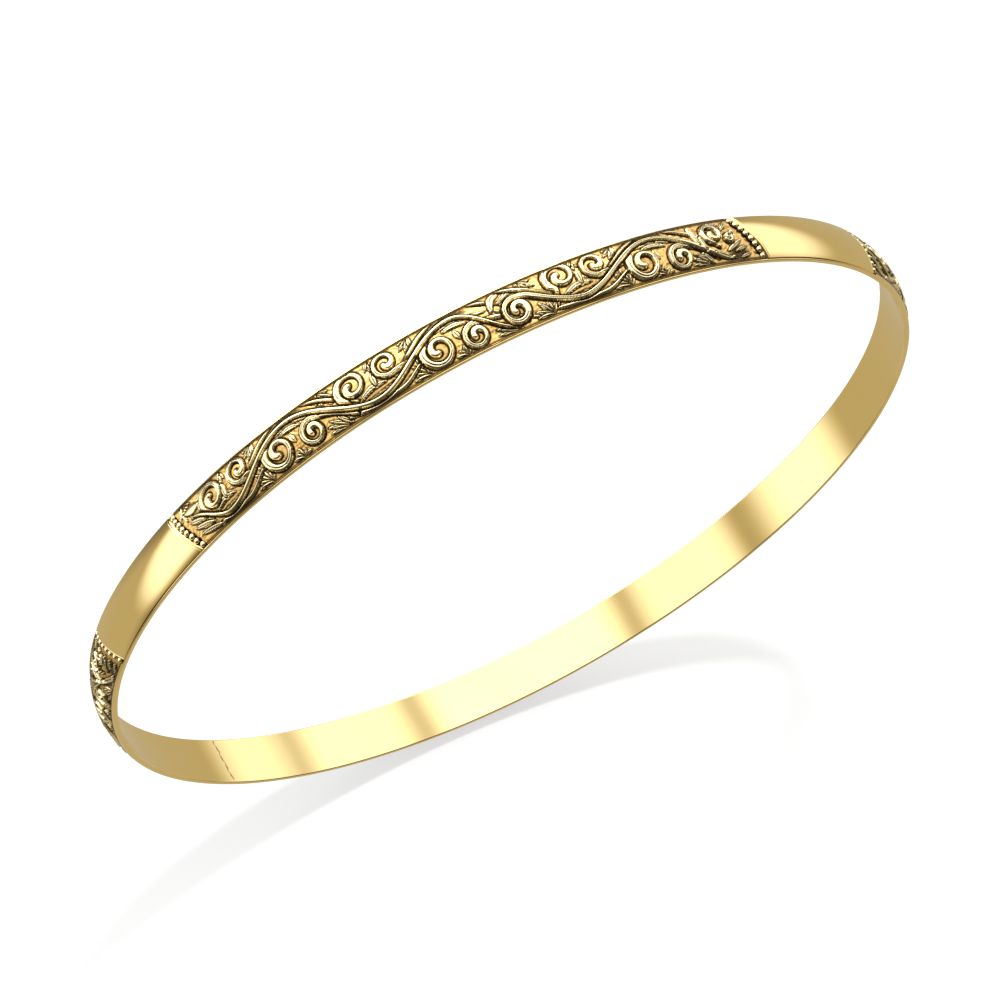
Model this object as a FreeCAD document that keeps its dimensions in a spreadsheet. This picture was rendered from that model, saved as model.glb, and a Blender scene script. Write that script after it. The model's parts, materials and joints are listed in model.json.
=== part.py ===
import FreeCAD, Part
import os
import Sketcher

# A round, rigid bangle bracelet.  A flat inner band carries an ornamental outer layer: three
# scroll-relief panels, each closed at both ends by a beaded row and a thin collar, with plain
# domed stretches between them.  The ring lies on z = 0 with its axis on +Z and its front towards
# -Y.  Angles are in degrees, anticlockwise from +X as seen from above.

SIZES = [
    ("inner_diameter", 65.0, "wrist opening"),
    ("band_width", 3.9, "height of the band along the ring's axis"),
    ("liner_thickness", 0.36, "flat inner band"),
    ("liner_round", 0.08, "rounding of the inner band's edges"),
    ("strip_inset", 0.12, "how far the outer layer stands in from each rim"),
    ("strip_edge", 0.12, "upright edge of the outer layer"),
    ("strip_height", 0.58, "outer layer's height over the inner band at its crown"),
    ("front_angle", 270.0, "middle of the front scroll panel, degrees"),
    ("panel_angle", 84.7, "from bead row to bead row across a scroll panel, degrees"),
    ("plain_angle", 25.8, "from bead row to bead row across a front plain stretch, degrees"),
    ("row_lean", 22.5, "lean of the bead rows from the ring's axis, degrees"),
    ("track_width", 0.5, "strip under a bead row, measured round the ring"),
    ("track_edge", 0.05, "upright edge of that strip"),
    ("track_sink", 0.2, "how far that strip lies below the domed outline"),
    ("bead_count", 8, "beads in a row"),
    ("bead_diameter", 0.5, "one bead"),
    ("bead_rise", 0.04, "how far the beads stand above the domed outline"),
    ("collar_width", 0.3, "end collar, measured round the ring"),
    ("collar_round", 0.1, "rounding of a collar's upper edges"),
    ("seam_angle", 144.4, "where the inner band's ends meet, degrees"),
    ("seam_gap", 0.22, "width of the soldered joint, degrees"),
    ("seam_sink", 0.02, "how far the solder stays below the inner band's surfaces"),
    ("reach", 45.0, "half size of the blocks that cut the outer layer"),
]

INNER_RADIUS = "(sizes.inner_diameter / 2)"
LINER_RADIUS = f"({INNER_RADIUS} + sizes.liner_thickness)"
MID_HEIGHT = "(sizes.band_width / 2)"
STRIP_HALF = f"({MID_HEIGHT} - sizes.strip_inset)"

# Across a leaning row the strip is wider by 1 / cos(lean).
LEAN_COS = "cos(sizes.row_lean * 1 deg)"
ROW_HALF = f"({STRIP_HALF} / {LEAN_COS})"
ROW_CROWN = "(sizes.strip_height - sizes.strip_edge)"
ROW_ARC = f"(({ROW_HALF}^2 + {ROW_CROWN}^2) / (2 * {ROW_CROWN}))"
BEAD_SPAN = f"(2 * asin({ROW_HALF} / {ROW_ARC}) / 1 deg * (1 - 1 / sizes.bead_count))"

# Widths round the ring, as angles.
TRACK_ANGLE = f"(sizes.track_width / {LINER_RADIUS} * 180 / pi)"
COLLAR_ANGLE = f"(sizes.collar_width / {LINER_RADIUS} * 180 / pi)"

HALF_PANEL = "sizes.panel_angle / 2"
PANEL_PITCH = "(sizes.panel_angle + sizes.plain_angle)"
PANEL_MIDDLES = {
    "front": "sizes.front_angle",
    "right": f"sizes.front_angle + {PANEL_PITCH}",
    "left": f"sizes.front_angle - {PANEL_PITCH}",
}

# Each bead row's place, and the side of it on which its plain stretch lies (+1 anticlockwise).
ROWS = {
    "front_left": (f"({PANEL_MIDDLES['front']} - {HALF_PANEL})", -1),
    "front_right": (f"({PANEL_MIDDLES['front']} + {HALF_PANEL})", 1),
    "right_front": (f"({PANEL_MIDDLES['right']} - {HALF_PANEL})", -1),
    "right_back": (f"({PANEL_MIDDLES['right']} + {HALF_PANEL})", 1),
    "left_front": (f"({PANEL_MIDDLES['left']} + {HALF_PANEL})", 1),
    "left_back": (f"({PANEL_MIDDLES['left']} - {HALF_PANEL})", -1),
}


def make_sheet(doc):
    """The driving dimensions, in millimetres unless their note says degrees."""
    sheet = doc.addObject("Spreadsheet::Sheet", "sizes")
    for row, (alias, value, note) in enumerate(SIZES, start=1):
        sheet.set(f"A{row}", alias.replace("_", " "))
        sheet.set(f"B{row}", str(value))
        sheet.setAlias(f"B{row}", alias)
        sheet.set(f"C{row}", note)
    doc.recompute()
    return sheet


def new_body(doc, label):
    body = doc.addObject("PartDesign::Body", label)
    body.Label = label
    return body


def new_sketch(body, name, role):
    """A sketch on one of the body's own origin planes."""
    plane = next(f for f in body.Origin.OriginFeatures if f.Role == role)
    sketch = body.newObject("Sketcher::SketchObject", name)
    sketch.AttachmentSupport = [(plane, "")]
    sketch.MapMode = "FlatFace"
    return sketch


def bind(sketch, kind, place, expression):
    """Add a dimension at its drawn size, then tie it to the sheet."""
    number = sketch.addConstraint(Sketcher.Constraint(kind, *place))
    sketch.setExpression(f"Constraints[{number}]", expression)


def line(sketch, start, end):
    ends = [FreeCAD.Vector(*start, 0), FreeCAD.Vector(*end, 0)]
    return sketch.addGeometry(Part.LineSegment(*ends), False)


def turn_about_axis(body, angle):
    body.setExpression("Placement", f"placement(vector(0; 0; 0); rotation(vector(0; 0; 1); {angle}))")


def rectangle_sketch(body, name, inner, outer, low, high):
    """A rectangle across the band on the XZ plane, each side (size, expression)."""
    sketch = new_sketch(body, name, "XZ_Plane")
    corners = [(inner[0], low[0]), (outer[0], low[0]), (outer[0], high[0]), (inner[0], high[0])]
    for here in range(4):
        line(sketch, corners[here], corners[(here + 1) % 4])
    for here in range(4):
        sketch.addConstraint(Sketcher.Constraint("Coincident", here, 2, (here + 1) % 4, 1))
    for here, kind in enumerate(["Horizontal", "Vertical", "Horizontal", "Vertical"]):
        sketch.addConstraint(Sketcher.Constraint(kind, here))
    bind(sketch, "DistanceX", (-1, 1, 0, 1, inner[0]), inner[1])
    bind(sketch, "DistanceX", (-1, 1, 1, 1, outer[0]), outer[1])
    if low[1]:
        bind(sketch, "DistanceY", (-1, 1, 0, 1, low[0]), low[1])
    else:
        sketch.addConstraint(Sketcher.Constraint("PointOnObject", 0, 1, -1))
    bind(sketch, "DistanceY", (-1, 1, 2, 1, high[0]), high[1])
    return sketch


def dome_sketch(body, name, role, size, formula):
    """A low dome: a flat base at radius, an upright edge each side and an arc over the top.

    size and formula each hold radius, middle, half (half width), edge and crown (heights
    over the base); the dome's width runs along the sketch's second axis.
    """
    sketch = new_sketch(body, name, role)
    radius, middle, half = size["radius"], size["middle"], size["half"]
    rise = size["crown"] - size["edge"]
    arc_radius = (half**2 + rise**2) / (2 * rise)
    shoulder = radius + size["edge"]
    line(sketch, (radius, middle + half), (radius, middle - half))
    line(sketch, (radius, middle - half), (shoulder, middle - half))
    over = [
        FreeCAD.Vector(shoulder, middle - half, 0),
        FreeCAD.Vector(radius + size["crown"], middle, 0),
        FreeCAD.Vector(shoulder, middle + half, 0),
    ]
    sketch.addGeometry(Part.Arc(*over), False)
    line(sketch, (shoulder, middle + half), (radius, middle + half))
    for here in range(4):
        sketch.addConstraint(Sketcher.Constraint("Coincident", here, 2, (here + 1) % 4, 1))
    sketch.addConstraint(Sketcher.Constraint("Vertical", 0))
    sketch.addConstraint(Sketcher.Constraint("Horizontal", 1))
    sketch.addConstraint(Sketcher.Constraint("Horizontal", 3))
    sketch.addConstraint(Sketcher.Constraint("Equal", 1, 3))
    low = f"{formula['middle']} - {formula['half']}"
    high = f"{formula['middle']} + {formula['half']}"
    rise_formula = f"({formula['crown']} - {formula['edge']})"
    arc_formula = f"({formula['half']}^2 + {rise_formula}^2) / (2 * {rise_formula})"
    bind(sketch, "DistanceX", (-1, 1, 0, 1, radius), formula["radius"])
    bind(sketch, "DistanceY", (-1, 1, 0, 2, middle - half), low)
    bind(sketch, "DistanceY", (-1, 1, 0, 1, middle + half), high)
    bind(sketch, "DistanceX", (-1, 1, 1, 2, shoulder), f"{formula['radius']} + {formula['edge']}")
    bind(sketch, "Radius", (2, arc_radius), arc_formula)
    return sketch


def revolve(body, sketch, angle):
    turn = body.newObject("PartDesign::Revolution", body.Name + "_turn")
    turn.Profile = sketch
    turn.ReferenceAxis = (sketch, ["V_Axis"])
    turn.setExpression("Angle", angle)
    body.Document.recompute()
    return turn


def make_liner(doc, sheet):
    """The flat inner band, an open ring whose ends meet at the soldered joint."""
    body = new_body(doc, "inner_liner")
    inner = (sheet.inner_diameter / 2, INNER_RADIUS)
    outer = (inner[0] + sheet.liner_thickness, LINER_RADIUS)
    high = (sheet.band_width, "sizes.band_width")
    sketch = rectangle_sketch(body, "liner_section", inner, outer, (0, None), high)
    turn = revolve(body, sketch, "360 - sizes.seam_gap")
    rims = []
    for number, edge in enumerate(turn.Shape.Edges, start=1):
        if isinstance(edge.Curve, Part.Circle):
            rims.append(f"Edge{number}")
    soften = body.newObject("PartDesign::Fillet", "liner_rims")
    soften.Base = (turn, rims)
    soften.setExpression("Radius", "sizes.liner_round")
    turn_about_axis(body, "sizes.seam_angle")
    return body


def make_seam(doc, sheet):
    """The solder that fills the joint in the inner band."""
    body = new_body(doc, "liner_seam")
    sink = sheet.seam_sink
    inner = (sheet.inner_diameter / 2 + sink, f"{INNER_RADIUS} + sizes.seam_sink")
    outer = (inner[0] + sheet.liner_thickness - 2 * sink, f"{LINER_RADIUS} - sizes.seam_sink")
    high = (sheet.band_width - sink, "sizes.band_width - sizes.seam_sink")
    sketch = rectangle_sketch(body, "seam_section", inner, outer, (sink, "sizes.seam_sink"), high)
    revolve(body, sketch, "sizes.seam_gap")
    turn_about_axis(body, "sizes.seam_angle - sizes.seam_gap")
    return body


def make_dome_ring(doc, sheet):
    """The whole outer layer as one domed ring; its stretches are cut from it."""
    body = new_body(doc, "dome_ring")
    size = {
        "radius": sheet.inner_diameter / 2 + sheet.liner_thickness,
        "middle": sheet.band_width / 2,
        "half": sheet.band_width / 2 - sheet.strip_inset,
        "edge": sheet.strip_edge,
        "crown": sheet.strip_height,
    }
    formula = {
        "radius": LINER_RADIUS,
        "middle": MID_HEIGHT,
        "half": STRIP_HALF,
        "edge": "sizes.strip_edge",
        "crown": "sizes.strip_height",
    }
    sketch = dome_sketch(body, "dome_section", "XZ_Plane", size, formula)
    revolve(body, sketch, "360")
    return body


def make_block(doc, name, angle):
    """A block over everything anticlockwise of a leaning radial plane, for half a turn."""
    block = doc.addObject("Part::Box", name)
    block.setExpression("Length", "2 * sizes.reach")
    block.setExpression("Width", "sizes.reach")
    block.setExpression("Height", "2 * sizes.reach")
    centre = f"vector(0; 0; {MID_HEIGHT})"
    turn = f"rotation(vector(0; 0; 1); {angle}) * rotation(vector(1; 0; 0); sizes.row_lean)"
    corner = "placement(vector(-sizes.reach; 0; -sizes.reach); rotation(vector(0; 0; 1); 0))"
    block.setExpression("Placement", f"placement({centre}; {turn}) * {corner}")
    return block


def make_stretch(doc, ring, label, start, end):
    """The part of the domed ring from one leaning radial plane to the next."""
    beyond_start = make_block(doc, label + "_from", start)
    beyond_end = make_block(doc, label + "_to", end)
    half = doc.addObject("Part::Common", label + "_half")
    half.Base = ring
    half.Tool = beyond_start
    stretch = doc.addObject("Part::Cut", label)
    stretch.Base = half
    stretch.Tool = beyond_end
    stretch.Label = label
    return stretch


def make_panels(doc, ring):
    """The scroll-relief panels, up to the strips under their bead rows."""
    panels = []
    for side, middle in PANEL_MIDDLES.items():
        start = f"{middle} - {HALF_PANEL} + {TRACK_ANGLE} / 2"
        end = f"{middle} + {HALF_PANEL} - {TRACK_ANGLE} / 2"
        panels.append(make_stretch(doc, ring, f"scroll_panel_{side}", start, end))
    return panels


def make_plain_bands(doc, ring):
    """The plain domed stretches, from collar to collar."""
    clear = f"({TRACK_ANGLE} / 2 + {COLLAR_ANGLE})"
    pairs = {
        "front_left": ("left_front", "front_left", ""),
        "front_right": ("front_right", "right_front", ""),
        "back": ("right_back", "left_back", " + 360"),
    }
    bands = []
    for side, (first, last, turns) in pairs.items():
        start = f"{ROWS[first][0]} + {clear}"
        end = f"{ROWS[last][0]} - {clear}{turns}"
        bands.append(make_stretch(doc, ring, f"plain_band_{side}", start, end))
    return bands


def place_on_row(body, angle):
    """Stand a body on a leaning radial plane: its X outwards, its Y along the row."""
    turn = f"rotation(vector(0; 0; 1); {angle}) * rotation(vector(1; 0; 0); 90 + sizes.row_lean)"
    body.setExpression("Placement", f"placement(vector(0; 0; {MID_HEIGHT}); {turn})")


def row_slab(body, sheet, edge, sink, width):
    """A domed slab across the band along a leaning row, edge and sink as (size, expression)."""
    size = {
        "radius": sheet.inner_diameter / 2 + sheet.liner_thickness,
        "middle": 0,
        "half": sheet.band_width / 2,
        "edge": edge[0],
        "crown": sheet.strip_height - sink[0],
    }
    formula = {
        "radius": LINER_RADIUS,
        "middle": "0",
        "half": ROW_HALF,
        "edge": edge[1],
        "crown": f"(sizes.strip_height - {sink[1]})",
    }
    sketch = dome_sketch(body, body.Name + "_section", "XY_Plane", size, formula)
    slab = body.newObject("PartDesign::Pad", body.Name + "_slab")
    slab.Profile = sketch
    slab.Midplane = True
    slab.setExpression("Length", f"{width} * {LEAN_COS}")
    body.Document.recompute()
    return slab


def make_bead_row(doc, sheet, side, angle):
    """A sunk strip with a row of round beads following the dome from rim to rim."""
    body = new_body(doc, f"bead_row_{side}")
    edge = (sheet.track_edge, "sizes.track_edge")
    row_slab(body, sheet, edge, (sheet.track_sink, "sizes.track_sink"), "sizes.track_width")

    sketch = new_sketch(body, body.Name + "_bead", "XY_Plane")
    arc_centre = f"{LINER_RADIUS} + sizes.strip_height - {ROW_ARC}"
    swing = f"rotation(vector(0; 0; 1); -{BEAD_SPAN} / 2)"
    sketch.setExpression("AttachmentOffset", f"placement(vector({arc_centre}; 0; 0); {swing})")
    radius = sheet.bead_diameter / 2
    drawn_at = sheet.band_width
    near = FreeCAD.Vector(drawn_at - radius, 0, 0)
    far = FreeCAD.Vector(drawn_at + radius, 0, 0)
    sketch.addGeometry(Part.LineSegment(near, far), False)
    sketch.addGeometry(Part.Arc(far, FreeCAD.Vector(drawn_at, radius, 0), near), False)
    sketch.addConstraint(Sketcher.Constraint("Coincident", 0, 2, 1, 1))
    sketch.addConstraint(Sketcher.Constraint("Coincident", 1, 2, 0, 1))
    sketch.addConstraint(Sketcher.Constraint("PointOnObject", 0, 1, -1))
    sketch.addConstraint(Sketcher.Constraint("PointOnObject", 1, 3, -1))
    bead_reach = f"{ROW_ARC} + sizes.bead_rise - sizes.bead_diameter / 2"
    bind(sketch, "Radius", (1, radius), "sizes.bead_diameter / 2")
    bind(sketch, "DistanceX", (-1, 1, 1, 3, drawn_at), bead_reach)

    bead = body.newObject("PartDesign::Revolution", body.Name + "_first_bead")
    bead.Profile = sketch
    bead.ReferenceAxis = (sketch, ["H_Axis"])
    bead.Angle = 360
    doc.recompute()
    beads = body.newObject("PartDesign::PolarPattern", body.Name + "_beads")
    beads.Originals = [bead]
    beads.Axis = (sketch, ["N_Axis"])
    beads.setExpression("Angle", BEAD_SPAN)
    beads.setExpression("Occurrences", "sizes.bead_count")
    body.Tip = beads
    place_on_row(body, angle)
    return body


def make_collar(doc, sheet, side, angle, direction):
    """The thin round-edged collar between a bead row and its plain stretch."""
    body = new_body(doc, f"end_collar_{side}")
    edge = (sheet.strip_edge, "sizes.strip_edge")
    slab = row_slab(body, sheet, edge, (0, "0"), "sizes.collar_width")
    top = []
    for number, side_edge in enumerate(slab.Shape.Edges, start=1):
        if isinstance(side_edge.Curve, Part.Circle):
            top.append(f"Edge{number}")
    soften = body.newObject("PartDesign::Fillet", body.Name + "_round")
    soften.Base = (slab, top)
    soften.setExpression("Radius", "sizes.collar_round")
    offset = f"({TRACK_ANGLE} + {COLLAR_ANGLE}) / 2"
    place_on_row(body, f"{angle} {'+' if direction > 0 else '-'} {offset}")
    return body


def check(doc, parts):
    for thing in doc.Objects:
        if "Invalid" in thing.State or "Error" in thing.State:
            raise RuntimeError(f"{thing.Name} is {thing.State}")
    for part in parts:
        if part.Shape.isNull() or not part.Shape.isValid():
            raise RuntimeError(f"{part.Label} has no valid shape")
        if len(part.Shape.Solids) != 1:
            raise RuntimeError(f"{part.Label} is {len(part.Shape.Solids)} solids")


def main():
    doc = FreeCAD.newDocument("bangle")
    sheet = make_sheet(doc)
    ring = make_dome_ring(doc, sheet)
    parts = [make_liner(doc, sheet), make_seam(doc, sheet)]
    parts += make_panels(doc, ring)
    parts += make_plain_bands(doc, ring)
    for side, (angle, direction) in ROWS.items():
        parts.append(make_bead_row(doc, sheet, side, angle))
        parts.append(make_collar(doc, sheet, side, angle, direction))
    doc.recompute()
    check(doc, parts)
    os.makedirs("parts", exist_ok=True)
    for part in parts:
        part.Shape.exportStep(f"parts/{part.Label}.step")
        print(f"{part.Label:24s} {part.Shape.Volume:9.3f} mm3")


main()
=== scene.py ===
"""The looks of a slim gold bangle bracelet, laid out as an add-on.

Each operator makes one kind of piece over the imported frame; the panel lists them in order.
Sizes are in metres unless a name or a note says otherwise.
"""

import json
import math

import bmesh
import bpy
import numpy as np
from bpy.props import FloatProperty, FloatVectorProperty, IntProperty, PointerProperty
from mathutils import Matrix, Vector


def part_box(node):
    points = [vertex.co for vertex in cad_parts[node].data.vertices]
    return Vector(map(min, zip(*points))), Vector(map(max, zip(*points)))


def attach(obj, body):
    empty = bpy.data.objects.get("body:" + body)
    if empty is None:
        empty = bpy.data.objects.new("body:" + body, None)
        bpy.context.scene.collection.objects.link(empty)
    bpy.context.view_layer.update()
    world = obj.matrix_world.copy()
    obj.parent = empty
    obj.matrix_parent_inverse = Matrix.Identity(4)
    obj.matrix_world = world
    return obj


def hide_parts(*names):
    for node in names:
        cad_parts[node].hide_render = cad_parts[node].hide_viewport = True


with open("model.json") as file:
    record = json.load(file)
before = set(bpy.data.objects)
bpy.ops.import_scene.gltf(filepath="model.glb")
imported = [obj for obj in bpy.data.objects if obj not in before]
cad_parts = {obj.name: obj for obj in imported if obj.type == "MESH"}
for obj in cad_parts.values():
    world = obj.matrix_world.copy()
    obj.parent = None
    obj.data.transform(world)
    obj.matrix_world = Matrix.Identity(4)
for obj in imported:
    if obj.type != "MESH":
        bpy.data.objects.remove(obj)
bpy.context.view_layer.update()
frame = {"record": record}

bl_info = {
    "name": "Gold bangle",
    "version": (1, 0, 0),
    "blender": (4, 5, 0),
    "location": "View3D > Sidebar > Bangle",
    "description": "Builds a polished bangle with scroll-relief panels and beaded rows",
    "category": "Object",
}

MM = 0.001
# The bead rows at the start and end of each panel and plain band, anticlockwise from above
PANEL_ENDS = {
    "front": ("front_left", "front_right"),
    "right": ("right_front", "right_back"),
    "left": ("left_back", "left_front"),
}
BAND_ENDS = {
    "front_left": ("left_front", "front_left"),
    "front_right": ("front_right", "right_front"),
    "back": ("right_back", "left_back"),
}
ROW_SIDES = ("front_left", "front_right", "right_front", "right_back", "left_front", "left_back")


def length_property(name, text, millimetres):
    return FloatProperty(
        name=name, description=text, default=millimetres * MM, subtype="DISTANCE", precision=5
    )


def angle_property(name, text, degrees):
    return FloatProperty(name=name, description=text, default=math.radians(degrees), subtype="ANGLE")


def colour_property(name, text, value):
    return FloatVectorProperty(
        name=name, description=text, default=value, subtype="COLOR", size=3, min=0.0, max=1.0
    )


class BangleSizes(bpy.types.PropertyGroup):
    """Sizes that the frame doesn't give."""

    row_lean: angle_property("Row lean", "Lean of the bead rows from the ring's axis", 22.5)
    strip_edge: length_property("Strip edge", "Upright edge of the outer layer", 0.12)
    rim_round: length_property("Rim round", "Rounding of the inner band's rims", 0.07)
    track_width: length_property("Track width", "Strip under a bead row, round the ring", 0.5)
    track_sink: length_property("Track sink", "How far that strip lies below the dome", 0.24)
    bead_count: IntProperty(name="Beads", description="Beads in a row", default=8)
    bead_radius: length_property("Bead radius", "One bead", 0.228)
    collar_width: length_property("Collar width", "End collar, round the ring", 0.3)
    relief_cell: length_property("Relief cell", "Mesh spacing of the scroll relief", 0.05)
    relief_depth: length_property("Relief depth", "From the crests down to the cut lines", 0.34)
    smooth_cell: length_property("Smooth cell", "Mesh spacing of the polished pieces", 0.3)


class BangleColours(bpy.types.PropertyGroup):
    """Colours of the metal, with painted shade in its recesses and a painted highlight on its crests."""

    gold: colour_property("Gold", "Polished gold", (1.0, 0.78, 0.36))
    # Painted highlight: paler gold on the relief's crests
    crest_highlight_gold: colour_property("Crest highlight gold", "Painted highlight on the relief's crests", (1.0, 0.86, 0.52))
    # Painted shade: darker, oranger gold in the relief's recesses
    recess_shade_gold: colour_property("Recess shade gold", "Gold in the relief's recesses", (0.92, 0.56, 0.17))
    # Painted shade: near black in the cut lines and the shaded fields
    shade_black: colour_property("Shade black", "Painted shade in the cut lines", (0.007, 0.0045, 0.002))
    solder: colour_property("Solder", "The joint in the inner band", (0.62, 0.44, 0.20))
    floor: colour_property("Floor", "White floor", (1.0, 1.0, 1.0))


# --- the ring's geometry


class Ring:
    """Radii, heights and angles of the ring, read from the frame."""

    def __init__(self, sizes):
        low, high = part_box("inner_liner")
        self.base = (high[0] - low[0]) / 2
        self.bottom = low[2]
        self.top = high[2]
        self.middle = (low[2] + high[2]) / 2
        self.inner = next(
            m["dims"]["r_mm"] * MM for m in frame["record"]["mounts"] if m["kind"] == "bore"
        )
        low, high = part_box("scroll_panel_front")
        self.crown = -low[1]
        self.half = (high[2] - low[2]) / 2
        self.edge = sizes.strip_edge
        self.lean = math.tan(sizes.row_lean)
        rise = self.crown - self.base - self.edge
        self.arc = (self.half**2 + rise**2) / (2 * rise)

    def dome(self, across):
        """Radius of the outer surface at a height from the band's middle."""
        across = np.clip(across, -self.half, self.half)
        return self.crown - self.arc + np.sqrt(self.arc**2 - across**2)

    def row_angle(self, side):
        """Where a bead row crosses the band's middle."""
        low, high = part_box(f"bead_row_{side}")
        return math.atan2(low[1] + high[1], low[0] + high[0])

    def between(self, sides):
        """Angles of two bead rows, the second less than a turn after the first."""
        start, end = map(self.row_angle, sides)
        while end < start:
            end += math.tau
        return start, end

    def on_dome(self, radius):
        """Whether points at these radii lie on the outer surface."""
        return radius > self.base + self.edge * 0.9


def dome_profile(ring, count, sink=0.0, edge=None):
    """Closed outline across the band: (radius, height from the middle), dome first."""
    edge = ring.edge if edge is None else edge
    heights = ring.half * np.sin(np.linspace(-math.pi / 2, math.pi / 2, count)) * 0.35
    heights += ring.half * np.linspace(-1, 1, count) * 0.65
    radii = np.maximum(ring.dome(heights) - sink, ring.base + edge)
    outline = list(zip(radii, heights))
    outline.append((ring.base, ring.half))
    outline.append((ring.base, -ring.half))
    return outline


def sweep_band(name, ring, outline, start, end, cell):
    """Wrap a grid round an outline from start to end, leaning its ends like the rows."""
    steps = max(4, round((end - start) * ring.crown / cell))
    closed = np.array([*outline, outline[0]])
    bm = bmesh.new()
    bmesh.ops.create_grid(bm, x_segments=steps, y_segments=len(outline), size=1.0)
    share = (np.array([vert.co.y for vert in bm.verts]) + 1) / 2 * len(outline)
    radii = np.interp(share, np.arange(len(closed)), closed[:, 0])
    heights = np.interp(share, np.arange(len(closed)), closed[:, 1])
    turns = start + (np.array([vert.co.x for vert in bm.verts]) + 1) / 2 * (end - start)
    turns -= ring.lean * heights / ring.crown
    for vert, radius, height, turn in zip(bm.verts, radii, heights, turns):
        vert.co = (radius * math.cos(turn), radius * math.sin(turn), ring.middle + height)
    bmesh.ops.remove_doubles(bm, verts=bm.verts, dist=0.001 * MM)
    bmesh.ops.holes_fill(bm, edges=[edge for edge in bm.edges if edge.is_boundary], sides=0)
    bmesh.ops.recalc_face_normals(bm, faces=bm.faces)
    return finish_mesh(bm, name)


SHARP_ANGLE = math.radians(35)


def finish_mesh(bm, name):
    """A smooth-shaded object from a bmesh, with its sharp edges kept."""
    mesh = bpy.data.meshes.new(name)
    bm.to_mesh(mesh)
    bm.free()
    mesh.polygons.foreach_set("use_smooth", [True] * len(mesh.polygons))
    mesh.set_sharp_from_angle(angle=SHARP_ANGLE)
    piece = bpy.data.objects.new(name, mesh)
    bpy.context.collection.objects.link(piece)
    return piece


def get_points(mesh):
    points = np.empty(len(mesh.vertices) * 3)
    mesh.vertices.foreach_get("co", points)
    return points.reshape(-1, 3)


def centred(turn):
    """Angles brought to within half a turn of zero."""
    return (turn + math.pi) % math.tau - math.pi


def sink_in(mesh, points, radius, sink):
    """Move a mesh's points towards the ring's axis."""
    points[:, :2] *= ((radius - sink) / radius)[:, None]
    mesh.vertices.foreach_set("co", points.astype(np.float32).ravel())
    mesh.update()


def store_masks(mesh, height, line):
    """Keep the relief's height and its painted shade, strongest in the cut lines, on the points, for the
    material.
    """
    for name, values in (("relief", height), ("cut_line_shade", line)):
        layer = mesh.attributes.new(name, "FLOAT", "POINT")
        layer.data.foreach_set("value", np.asarray(values, np.float32))


def deliver(piece, node, material):
    """Hand a finished piece over to the frame in place of its plain solid."""
    piece.data.materials.append(material)
    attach(piece, "root")
    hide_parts(node)


# --- the scroll relief


def smooth_path(points, per_span=14):
    """A Catmull-Rom curve through points."""
    points = np.array(points, float)
    ends = [2 * points[0] - points[1], *points, 2 * points[-1] - points[-2]]
    t = np.linspace(0, 1, per_span, endpoint=False)[:, None]
    path = []
    for a, b, c, d in zip(ends, ends[1:], ends[2:], ends[3:]):
        path.append(
            0.5 * (2 * b + (c - a) * t + (2 * a - 5 * b + 4 * c - d) * t**2 + (3 * b - a - 3 * c + d) * t**3)
        )
    return np.vstack([*path, points[-1:]])


# Levels of the relief: its rippled ground and the ground's faint painted shade, the foot of a raised stroke
# and a cut line's floor
GROUND_HEIGHT = 0.17
GROUND_RIPPLE = 0.07
GROUND_LINE = 0.07
STROKE_FOOT = 0.35
CUT_FLOOR = 0.04


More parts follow.
